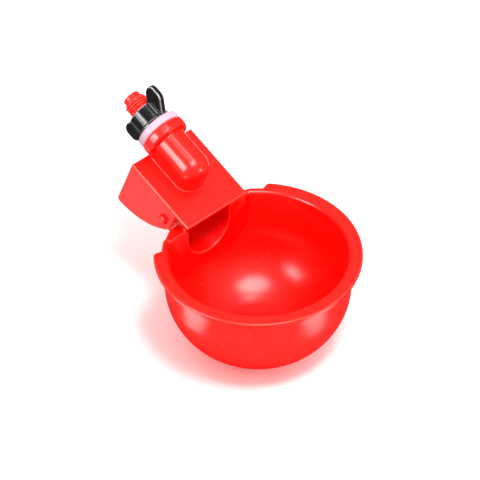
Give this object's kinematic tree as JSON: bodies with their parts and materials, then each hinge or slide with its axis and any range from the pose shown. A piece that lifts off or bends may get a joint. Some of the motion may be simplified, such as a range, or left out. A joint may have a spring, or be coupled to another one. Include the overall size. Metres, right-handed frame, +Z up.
{
  "type": "poultry drinking cup",
  "caption": "Tilting drinking cup for poultry: flanged round bowl hinged in a valve housing with threaded inlet stem, washer and wing nut.",
  "frame": {"origin": "centre of the bowl's flat foot, with the bowl level and raised against its stop", "axes": "+Z up, square to the bowl's rim; +Y back towards the wall that the stem goes through; +X along the hinge"},
  "size_m": [0.085, 0.1203, 0.0926],
  "materials": {
    "red_plastic": "glossy injection-moulded polypropylene, bright red",
    "black_plastic": "glossy black moulded nylon",
    "washer_rubber": "soft satin silicone rubber, very pale pink",
    "pad_rubber": "matt black rubber",
    "spring_steel": "bright drawn stainless wire"
  },
  "bodies": {
    "housing": {"valve_housing": "red_plastic", "sealing_washer": "washer_rubber"},
    "cup": {"bowl": "red_plastic", "valve_pad": "pad_rubber", "return_spring": "spring_steel"},
    "nut": {"wing_nut": "black_plastic"}
  },
  "joints": [
    {"name": "bowl_tilt", "type": "hinge", "parent": "housing", "child": "cup", "pos_m": [0, 0.0392, 0.0484], "axis": [1, 0, 0], "range_deg": [0, 21], "stiffness_Nm_per_rad": 0.03, "springref_deg": -45.84, "deforming": ["return_spring"]},
    {"name": "wing_nut_turn", "type": "hinge", "parent": "housing", "child": "nut", "pos_m": [0, 0.06117, 0.07488], "axis": [0, 0.9336, 0.3584], "continuous": true}
  ]
}
